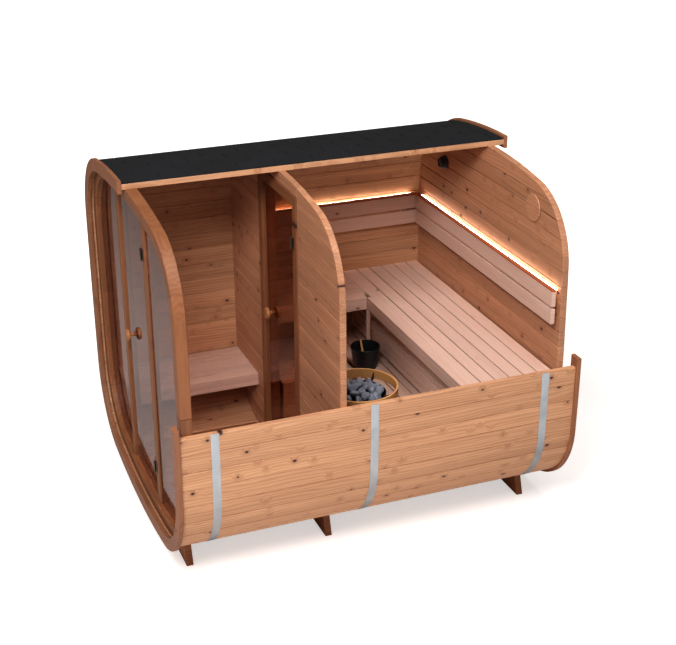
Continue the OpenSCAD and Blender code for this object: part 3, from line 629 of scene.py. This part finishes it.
def board_wall(boards, y0, y1, x0, x1, z0, z1, pitch=0.1, start=0.172):
    """Boards laid flat in courses, cut to the barrel's section and to the limits given."""
    z = start
    while z < z1:
        low, high = max(z + 0.0006, z0), min(z + pitch - 0.0006, z1)
        if high - low > 0.012:
            poly = clipped(clipped(section, 1, low, high), 0, x0, x1)
            if len(poly) > 2:
                boards.prism(poly, y0, y1, upright, (1, 0, 0), 0.0034,
                             Vector((0, 0, 1)))
        z += pitch


PART_FRONT, PART_BACK = -0.291, -0.249
BELOW, ABOVE, ASIDE = 0.1, 2.4, 1.2    # past the barrel on each side
SILL_TOP, HEAD_TOP = 0.265, 2.215
wall = Boards(71)
for x0, x1, z0, z1 in ((-ASIDE, DOORWAY[0] - SEAT_GAP, BELOW, ABOVE),
                       (DOORWAY[1] + SEAT_GAP, ASIDE, BELOW, ABOVE),
                       (*DOORWAY, HEAD_TOP + SEAT_GAP, ABOVE), (*DOORWAY, BELOW, SILL_TOP)):
    board_wall(wall, PART_FRONT, PART_BACK, x0, x1, z0, z1)
wall.build("partition_boards", inner_wood,
           ["partition_far_panel", "partition_near_panel", "partition_head_panel",
            "partition_sill"])
casing = Boards(72)
CASING = (-0.298, -0.218)
z = (SILL_TOP, 2.143)
post(casing, LATCH_POST, *CASING, z)
post(casing, LATCH_STOP, -0.274, CASING[1], z)
post(casing, HINGE_POST, *CASING, z)
casing.plank(DOORWAY, CASING, (2.1432, HEAD_TOP), "x", 0.003)
# The casing takes the frame's colour, with its painted shade.
casing.build("partition_door_casing", frame_wood_painted_shade,
             ["partition_jambs", "partition_door_head"])

# Back wall: the same tongued boards, with a round vent cover and a small bulkhead lamp.
BACK_FACE = 1.178
back = Boards(81)
board_wall(back, BACK_FACE, 1.220, -ASIDE, ASIDE, BELOW, ABOVE)
back.build("back_wall_boards", inner_wood, ["back_wall"])
vent = Boards(82)
lathe(vent, [(0, 0), (0.078, 0), (0.078, 0.004), (0.086, 0.0042), (0.088, 0.006),
             (0.088, 0.010), (0.0865, 0.012), (0.016, 0.012), (0.014, 0.0105), (0, 0.010)],
      lambda u, v, h: (0.665 + u, BACK_FACE - h, 2.070 + v), (1, 0, 0), 64)
vent.build("vent_cover_disc", inner_wood, ["vent_cover"])

# Black powder-coated metal: a fine orange-peel skin, nearly matt.
black, t = material("black_powder_coat")
where = add(t, "ShaderNodeTexCoord").outputs["Object"]
peel = add(t, "ShaderNodeTexNoise", {"Vector": where, "Scale": 380.0, "Detail": 2.0})
bump = add(t, "ShaderNodeBump", {"Height": peel.outputs["Fac"], "Strength": 0.25,
                                 "Distance": 0.0005})
sheen = add(t, "ShaderNodeMapRange", {"Value": peel.outputs["Fac"], "To Min": 0.34,
                                      "To Max": 0.5})
skin = add(t, "ShaderNodeBsdfPrincipled", {"Base Color": linear("#1B1B1E"), "IOR": 1.5,
                                           "Roughness": sheen.outputs[0],
                                           "Normal": bump.outputs[0]})
add(t, "ShaderNodeOutputMaterial", {"Surface": skin.outputs[0]})
lamp = Boards(83)
lathe(lamp, [(0, 0), (0.046, 0), (0.048, 0.003), (0.048, 0.014), (0.045, 0.018),
             (0.038, 0.0185), (0.038, 0.040), (0.034, 0.046), (0.027, 0.047), (0.025, 0.040),
             (0.012, 0.043), (0, 0.044)],
      lambda u, v, h: (-0.625 + u, BACK_FACE - h, 2.000 + v), (1, 0, 0))
lamp.build("bulkhead_lamp", black, ["wall_lamp"])

# Floor grids: loose duckboards of 90 mm slats on cross bearers.
SLAT, PITCH, BEARER_W = 0.09, 0.1, 0.038    # slat width, slat spacing, bearer width
floor = Boards(91)
for y0, y1 in ((-1.180, -0.318), (-0.198, 0.335)):
    for i in range(11):
        x = -0.545 + PITCH * i
        floor.plank((x, x + SLAT), (y0, y1), (0.217, 0.245), "y")
    for y in (y0 + 0.06, y1 - 0.098):
        floor.plank((-0.5, 0.5), (y, y + BEARER_W), (0.2085, 0.218), "x")
floor.build("floor_grid_slats", foot_wood, ["floor_grids"])

# Benches: pale, untreated aspen slats of 90 mm with 10 mm gaps, with a board on edge along the
# front. They are planed and eased, stay cool to sit on and carry almost no knots.
bench_wood = timber("planed_aspen", "#DDBFB0", "#C49C8A", "#9A6F5C", knots=0.05, spread=0.12,
                    rough=0.6, contrast=0.5)


def wall_x(z, inset=0.0593):
    """Half width of the room at a height."""
    low, high = 0.0, math.pi / 2
    rise = abs(z - CENTRE_Z)
    for _ in range(40):
        mid = (low + high) / 2
        if outline(inset, mid)[1] - CENTRE_Z < rise:
            low = mid
        else:
            high = mid
    return outline(inset, low)[0]


def bearer(boards, x0, x1, y0, z1, depth=0.060):
    boards.plank((x0, x1), (y0, y0 + BEARER_W), (z1 - depth, z1), "x")


low_bench = Boards(101)
LOW_SEAT, SEAT, DECK = (0.602, 0.630), (1.067, 1.095), (0.592, 0.620)
AGAINST_WALL = 1.1772          # the back wall less its seat gap
BEFORE_PART, BEHIND_PART = -0.2913, -0.2487
edge = -0.545
wall_edge = -wall_x(0.602)
x = edge
while x - 0.02 > wall_edge:
    low_bench.plank((max(x - SLAT, wall_edge), x), (-1.192, BEFORE_PART), LOW_SEAT, "y")
    x -= PITCH
low_bench.plank((edge - 0.028, edge), (-1.192, BEFORE_PART), (0.539, 0.6017), "y")
for y in (-1.152, -0.3693):
    bearer(low_bench, -wall_x(0.542), edge - 0.027, y, 0.603)
low_bench.build("changing_bench_slats", bench_wood, ["changing_bench"])

seat = Boards(102)
reach = wall_x(1.06)
y = 1.166
while y - SLAT > 0.67:
    seat.plank((-reach, reach), (y - SLAT, y), SEAT, "x")
    y -= PITCH
seat.plank((-0.517, reach), (0.534, 0.666), SEAT, "x")
seat.plank((-reach, -0.5175), (0.562, 0.666), SEAT, "x")
seat.plank((-0.517, reach), (0.534, 0.562), (1.004, 1.0667), "x")
for x in (-0.900, -0.577, 0.0, 0.480, 0.930):
    seat.plank((x, x + BEARER_W), (0.561, AGAINST_WALL), (1.007, 1.068), "y")
seat.build("main_bench_slats", bench_wood, ["main_bench"])

arm = Boards(103)
x = -0.5173
while x - 0.02 > -reach:
    end = 0.5327 if x > -0.55 else 0.5607
    arm.plank((max(x - SLAT, -reach), x), (BEHIND_PART, end), SEAT, "y")
    x -= PITCH
arm.plank((-0.545, -0.5173), (BEHIND_PART, 0.5327), (1.004, 1.0667), "y")
for y in (-0.1887, 0.4347):
    bearer(arm, -wall_x(1.01), -0.544, y, 1.068)
arm.build("side_bench_slats", bench_wood, ["side_bench"])

# Skirt, legs and decks under the benches: the same slats, narrower in the skirt.
skirt = Boards(104)
top = 1.0067
while top - 0.044 > 0.6203:
    skirt.plank((-wall_x(top), wall_x(top - 0.04)), (0.629, 0.657), (top - 0.044, top), "x")
    top -= 0.051
for x in (-0.850, -0.280, 0.290, 0.860):
    skirt.plank((x, x + 0.038), (0.656, 0.695), (0.6203, 1.0067), "z")
skirt.build("bench_skirt_slats", bench_wood, ["bench_skirt"])
legs = Boards(105)
legs.plank((-0.542, -0.517), (0.534, 0.559), (0.6203, 1.0037), "z")
legs.plank((-0.5833, -0.5453), (0.0, 0.038), (0.6203, 1.0667), "z")
legs.build("bench_posts", bench_wood, ["bench_legs"])

deck = Boards(106)
reach = wall_x(0.56)
y = 0.695
while y - SLAT > 0.373:
    deck.plank((-reach, reach), (y - SLAT, y), DECK, "x")
    y -= PITCH
deck.plank((-reach, reach), (0.345, 0.371), (0.529, DECK[1]), "x")
for x in (-0.800, -0.270, 0.270, 0.800):
    deck.plank((x, x + BEARER_W), (0.370, 0.695), (0.532, 0.593), "y")
    dx = max(abs(x), abs(x + BEARER_W))
    low = CENTRE_Z - half_rise(0.0587, dx)
    if dx > 0.59:
        cx = HALF_W - SIDE_R + (SIDE_R - CORNER) * math.cos(SIDE_HALF)
        low = CENTRE_Z - (SIDE_R - CORNER) * math.sin(SIDE_HALF)
        low -= math.sqrt((CORNER - 0.0587) ** 2 - (dx - cx) ** 2)
    for y in (0.373, 0.657):
        deck.plank((x, x + BEARER_W), (y, y + BEARER_W), (low, DECK[0]), "z")
x = -0.370
edge = -wall_x(DECK[0])
while x - 0.02 > edge:
    deck.plank((max(x - SLAT, edge), x), (-0.170, 0.3447), DECK, "y")
    x -= PITCH
z = 0.250
while z < 0.615:
    deck.plank((-0.368, -0.340), (-0.170, 0.3447), (z, min(z + 0.0915, DECK[1])), "y")
    z += 0.0925
deck.build("lower_deck_slats", bench_wood, ["lower_deck", "side_deck"])

# Backrests: two wide aspen slats on blocks, with a red-brown cap board that hides a warm
# light strip. The strip washes the wall above it.
rest = Boards(111)
REST_TOP = 1.645
SIDE_X = wall_x(REST_TOP, 0.059)
REST_X = SIDE_X - 0.030
END = REST_X - 0.028
REST_Z = (REST_TOP - 0.216, REST_TOP)
for z in (REST_TOP - PITCH, REST_Z[0]):
    rest.plank((-END + 0.010, SIDE_X - 0.010), (1.120, 1.148), (z, z + 0.1), "x")
    rest.plank((-REST_X, -END), (BEHIND_PART, AGAINST_WALL), (z, z + 0.1), "y")
for x in (-END + 0.06, -0.330, 0.330, END - 0.098):
    rest.plank((x, x + BEARER_W), (1.147, AGAINST_WALL), REST_Z, "z")
for y in (-0.1887, 0.2, 0.65, 1.02):
    rest.plank((-SIDE_X, -REST_X + 0.001), (y, y + BEARER_W), REST_Z, "z")
rest.build("backrest_slats", bench_wood, ["back_backrest", "side_backrest"])

cap_wood = timber("stained_cap_board", "#B4643C", "#8E4525", "#5A2A18", knots=0.0)
cap = Boards(112)
lid, strip = (REST_TOP + SEAT_GAP, REST_TOP + 0.012), (REST_TOP + SEAT_GAP, REST_TOP + 0.006)
cap.plank((-END + 0.010, SIDE_X - 0.010), (1.120, 1.146), lid, "x", 0.001)
cap.plank((-REST_X, -END), (BEHIND_PART, 1.1197), lid, "y", 0.001)
cap.build("backrest_caps", cap_wood, ["light_strips"])

glow, t = material("warm_light_diffuser")
where = add(t, "ShaderNodeTexCoord").outputs["Object"]
dots = add(t, "ShaderNodeTexNoise", {"Vector": where, "Scale": 30.0})
power = add(t, "ShaderNodeMapRange", {"Value": dots.outputs["Fac"], "To Min": 11.0,
                                      "To Max": 13.0})
shine = add(t, "ShaderNodeEmission", {"Color": linear("#FFEEDA"),
                                      "Strength": power.outputs[0]})
add(t, "ShaderNodeOutputMaterial", {"Surface": shine.outputs[0]})
led = Boards(113)
led.plank((-END + 0.030, SIDE_X - 0.030), (1.150, 1.168), strip, "x", 0.001)
led.plank((-SIDE_X + 0.010, -REST_X - 0.003), (BEHIND_PART, 1.1), strip, "y", 0.001)
led.build("light_diffusers", glow)

# Heater: a black steel drum on legs with brackets that carry a bent-wood guard ring. A heap
# of split grey stones fills its basket.
dress("heater_body", black)
HX, HY = 0.585, 0.030
guard_wood = timber("bent_ash", "#D6A56B", "#A9743F", "#7A4E2C", knots=0.0, contrast=0.6)
guard = Boards(121)
lathe(guard, [(0.2345, 0.938), (0.2435, 0.938), (0.245, 0.9395), (0.245, 0.9985),
              (0.2435, 1.0), (0.2345, 1.0), (0.233, 0.9985), (0.233, 0.9395),
              (0.2345, 0.938)], lambda u, v, h: (HX + u, HY + v, h), (1, 0, 0), 96)
guard.build("guard_ring_band", guard_wood, ["heater_guard"])

stone, t = material("split_olivine_stone")
where = add(t, "ShaderNodeTexCoord").outputs["Object"]
mottle = add(t, "ShaderNodeTexNoise", {"Vector": where, "Scale": 26.0, "Detail": 6.0,
                                       "Roughness": 0.65})
speck = add(t, "ShaderNodeTexVoronoi", {"Vector": where, "Scale": 190.0})
tint = add(t, "ShaderNodeValToRGB", {"Fac": mottle.outputs["Fac"]})
tint.color_ramp.elements[0].position = 0.3
tint.color_ramp.elements[0].color = linear("#565A66")
tint.color_ramp.elements[1].position = 0.72
tint.color_ramp.elements[1].color = linear("#9AA0AE")
bump = add(t, "ShaderNodeBump", {"Height": mottle.outputs["Fac"], "Strength": 0.7,
                                 "Distance": 0.004})
fleck = add(t, "ShaderNodeMapRange", {"Value": speck.outputs["Distance"], "To Min": 0.62,
                                      "To Max": 0.85})
rock = add(t, "ShaderNodeBsdfPrincipled", {"Base Color": tint.outputs[0], "IOR": 1.6,
                                           "Roughness": fleck.outputs[0],
                                           "Normal": bump.outputs[0]})
add(t, "ShaderNodeOutputMaterial", {"Surface": rock.outputs[0]})

heap = bpy.data.node_groups.new("stone_heap", "GeometryNodeTree")
for label, kind in (("Radius", "NodeSocketFloat"), ("Crown", "NodeSocketFloat"),
                    ("Spacing", "NodeSocketFloat"), ("Seed", "NodeSocketInt")):
    heap.interface.new_socket(label, in_out="INPUT", socket_type=kind)
heap.interface.new_socket("Geometry", in_out="OUTPUT", socket_type="NodeSocketGeometry")
into = heap.nodes.new("NodeGroupInput")
disc = add(heap, "GeometryNodeMeshCircle", {"Vertices": 40, "Radius": into.outputs["Radius"]},
           fill_type="NGON")
points = add(heap, "GeometryNodeDistributePointsOnFaces",
             {"Mesh": disc.outputs[0], "Distance Min": into.outputs["Spacing"],
              "Density Max": 9000.0, "Seed": into.outputs["Seed"]},
             distribute_method="POISSON")
spot = add(heap, "GeometryNodeInputPosition")
out = add(heap, "ShaderNodeVectorMath", {0: spot.outputs[0]}, operation="LENGTH")
share = add(heap, "ShaderNodeMath", {0: out.outputs["Value"], 1: into.outputs["Radius"]},
            operation="DIVIDE")
share = add(heap, "ShaderNodeMath", {0: share.outputs[0], 1: 2.0}, operation="POWER")
share = add(heap, "ShaderNodeMath", {0: 1.0, 1: share.outputs[0]}, operation="SUBTRACT")
rise = add(heap, "ShaderNodeMath", {0: share.outputs[0], 1: into.outputs["Crown"]},
           operation="MULTIPLY")
lift = add(heap, "ShaderNodeCombineXYZ", {"Z": rise.outputs[0]})
raised = add(heap, "GeometryNodeSetPosition", {"Geometry": points.outputs["Points"],
                                               "Offset": lift.outputs[0]})
ball = add(heap, "GeometryNodeMeshIcoSphere", {"Radius": 0.037, "Subdivisions": 3})
turn = add(heap, "FunctionNodeRandomValue", {"Max": (6.28, 6.28, 6.28)},
           data_type="FLOAT_VECTOR")
girth = add(heap, "FunctionNodeRandomValue", {"Min": (0.8, 0.6, 0.5), "Max": (1.25, 0.95, 0.85)},
            data_type="FLOAT_VECTOR")
copies = add(heap, "GeometryNodeInstanceOnPoints",
             {"Points": raised.outputs[0], "Instance": ball.outputs[0],
              "Rotation": turn.outputs[0], "Scale": girth.outputs[0]})
real = add(heap, "GeometryNodeRealizeInstances", {"Geometry": copies.outputs[0]})
spot = add(heap, "GeometryNodeInputPosition")
lump = add(heap, "ShaderNodeTexVoronoi", {"Vector": spot.outputs[0], "Scale": 21.0},
           feature="F1", distance="EUCLIDEAN")
push = add(heap, "ShaderNodeMapRange", {"Value": lump.outputs["Distance"], "To Min": 0.007,
                                        "To Max": -0.009})
way = add(heap, "GeometryNodeInputNormal")
shove = add(heap, "ShaderNodeVectorMath", {0: way.outputs[0], "Scale": push.outputs[0]},
            operation="SCALE")
split = add(heap, "GeometryNodeSetPosition", {"Geometry": real.outputs[0],
                                              "Offset": shove.outputs[0]})
soft = add(heap, "GeometryNodeSetShadeSmooth", {0: split.outputs[0], "Shade Smooth": True})
dressed = add(heap, "GeometryNodeSetMaterial", {"Geometry": soft.outputs[0],
                                                "Material": stone})
outof = heap.nodes.new("NodeGroupOutput")
heap.links.new(dressed.outputs[0], outof.inputs[0])


def grow(name, tree, **values):
    """Runs a tree on an empty mesh and returns the plain mesh that it makes."""
    holder = bpy.data.objects.new(name + "_tree", bpy.data.meshes.new(name + "_tree"))
    bpy.context.scene.collection.objects.link(holder)
    modifier = holder.modifiers.new("tree", "NODES")
    modifier.node_group = tree
    for item in tree.interface.items_tree:
        if item.in_out == "INPUT" and item.name in values:
            modifier[item.identifier] = values[item.name]
    graph = bpy.context.evaluated_depsgraph_get()
    mesh = bpy.data.meshes.new_from_object(holder.evaluated_get(graph))
    bpy.data.objects.remove(holder)
    return mesh


BASKET_R, BASKET_Z, HEAP_TOP = 0.160, 0.947, 1.0005
mesh = grow("stones", heap, Radius=0.130, Crown=0.034, Spacing=0.043, Seed=5)
for vertex in mesh.vertices:
    p = vertex.co
    r = math.hypot(p.x, p.y)
    if r > BASKET_R:
        p.x, p.y = p.x * BASKET_R / r, p.y * BASKET_R / r
    p.x, p.y, p.z = p.x + HX, p.y + HY, min(p.z + BASKET_Z, HEAP_TOP)
stones = bpy.data.objects.new("heater_stone_heap", mesh)
bpy.context.scene.collection.objects.link(stones)
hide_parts("heater_stones")
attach(stones, "sauna")

# Water bucket: a black coated pail with a rolled rim, and a wooden ladle that stands in it.
pail = Boards(131)
BX, BY, BZ = -0.380, 0.463, 0.6203
wall_profile = [(0, 0), (0.080, 0), (0.083, 0.003), (0.1035, 0.152), (0.106, 0.156),
                (0.106, 0.163), (0.104, 0.166), (0.101, 0.166), (0.0995, 0.162),
                (0.0775, 0.010), (0.074, 0.006), (0, 0.006)]
lathe(pail, wall_profile, lambda u, v, h: (BX + u, BY + v, BZ + h), (1, 0, 0), 64)
pail.build("water_pail", black, ["bucket"])
scoop = Boards(132)
lean = math.radians(30)
foot_x = 0.006 - 0.106 + 0.160 * math.tan(lean) + 0.009 / math.cos(lean) + 0.0003
lathe(scoop, [(0, 0), (0.007, 0), (0.009, 0.003), (0.0085, 0.1), (0.0078, 0.16),
              (0.009, 0.185), (0.0075, 0.1915), (0, 0.192)],
      lambda u, v, h: (BX + foot_x + u * math.cos(lean) - h * math.sin(lean), BY + v,
                       BZ + 0.0066 + 0.009 * math.sin(lean) + u * math.sin(lean)
                       + h * math.cos(lean)), (0, 0, 1), 20)
scoop.build("ladle_handle", guard_wood, ["ladle"])

# Stage: a pale floor that goes white to the camera but keeps the shadow, and soft lamps.
# In reflections the floor is brighter away from the near side, as a lit studio wall would be.
pale, t = material("studio_floor")
seen = add(t, "ShaderNodeLightPath")
spot = add(t, "ShaderNodeNewGeometry").outputs["Position"]
split = add(t, "ShaderNodeSeparateXYZ", {0: spot})
far = add(t, "ShaderNodeVectorMath", {0: spot}, operation="LENGTH").outputs["Value"]
fill = add(t, "ShaderNodeMapRange", {"Value": far, "From Min": 2.5, "From Max": 5.0,
                                     "To Min": 0.55, "To Max": 1.0})
glow = add(t, "ShaderNodeMapRange", {"Value": split.outputs["X"], "From Min": 1.4,
                                     "From Max": 3.2, "To Min": 0.0, "To Max": 0.9})
side = add(t, "ShaderNodeMath", {0: split.outputs["Y"], 1: -1.5}, operation="GREATER_THAN")
glow = add(t, "ShaderNodeMath", {0: glow.outputs[0], 1: side.outputs[0]}, operation="MULTIPLY")
glow = add(t, "ShaderNodeMath", {0: glow.outputs[0], 1: seen.outputs["Is Glossy Ray"]},
           operation="MULTIPLY")
fill = add(t, "ShaderNodeMath", {0: fill.outputs[0], 1: seen.outputs["Is Camera Ray"],
                                 2: glow.outputs[0]}, operation="MULTIPLY_ADD")
extra = add(t, "ShaderNodeEmission", {"Color": (1, 1, 1, 1), "Strength": fill.outputs[0]})
ground = add(t, "ShaderNodeBsdfDiffuse", {"Color": (0.82, 0.79, 0.77, 1)})
both = add(t, "ShaderNodeAddShader", {0: ground.outputs[0], 1: extra.outputs[0]})
add(t, "ShaderNodeOutputMaterial", {"Surface": both.outputs[0]})
mesh = bpy.data.meshes.new("studio_floor")
mesh.from_pydata([(-60, -60, 0), (60, -60, 0), (60, 60, 0), (-60, 60, 0)], [], [(0, 1, 2, 3)])
mesh.materials.append(pale)
studio_floor = bpy.data.objects.new("studio_floor", mesh)
bpy.context.scene.collection.objects.link(studio_floor)

world = bpy.data.worlds.new("studio")
bpy.context.scene.world = world
world.use_nodes = True
t = world.node_tree
t.nodes.clear()
seen = add(t, "ShaderNodeLightPath")
dim = add(t, "ShaderNodeBackground", {"Color": (1, 0.86, 0.76, 1), "Strength": 0.2})
white = add(t, "ShaderNodeBackground", {"Color": (1, 1, 1, 1), "Strength": 1.0})
mix = add(t, "ShaderNodeMixShader", {0: seen.outputs["Is Camera Ray"], 1: dim.outputs[0],
                                     2: white.outputs[0]})
add(t, "ShaderNodeOutputWorld", {"Surface": mix.outputs[0]})


def softbox(name, place, aim, size, power):
    data = bpy.data.lights.new(name, "AREA")
    data.shape = "DISK"
    data.size = size
    data.energy = power
    holder = bpy.data.objects.new(name, data)
    holder.location = place
    holder.rotation_euler = (Vector(aim) - Vector(place)).to_track_quat("-Z", "Y").to_euler()
    bpy.context.scene.collection.objects.link(holder)


softbox("key", (5.4, -3.7, 7.0), (0, 0, 1.0), 3.0, 590)
softbox("top", (2.8, 0.4, 8.0), (0.2, 0.2, 1.0), 3.0, 250)
softbox("front", (-1.0, -8.0, 3.0), (0, -1, 1.2), 4.0, 60)

camera = bpy.data.cameras.new("camera")
camera.lens = 71.905
camera.sensor_width = 36
holder = bpy.data.objects.new("camera", camera)
bpy.context.scene.collection.objects.link(holder)
az, el, roll = math.radians(68.836), math.radians(23.8063), math.radians(-0.2776)
away = Vector((math.sin(az) * math.cos(el), -math.cos(az) * math.cos(el), math.sin(el)))
right = Vector((math.cos(az), math.sin(az), 0))
up = away.cross(right)
side = right * math.cos(roll) + up * math.sin(roll)
rise = -right * math.sin(roll) + up * math.cos(roll)
turned = holder.matrix_world.to_3x3()
for i in range(3):
    turned[i][0], turned[i][1], turned[i][2] = side[i], rise[i], away[i]
holder.rotation_euler = turned.to_euler()
holder.location = (7.7332, -2.8858, 4.8392)
bpy.context.scene.camera = holder
view = bpy.context.scene.view_settings
view.view_transform = "Standard"
view.exposure = 0.1
view.gamma = 0.85
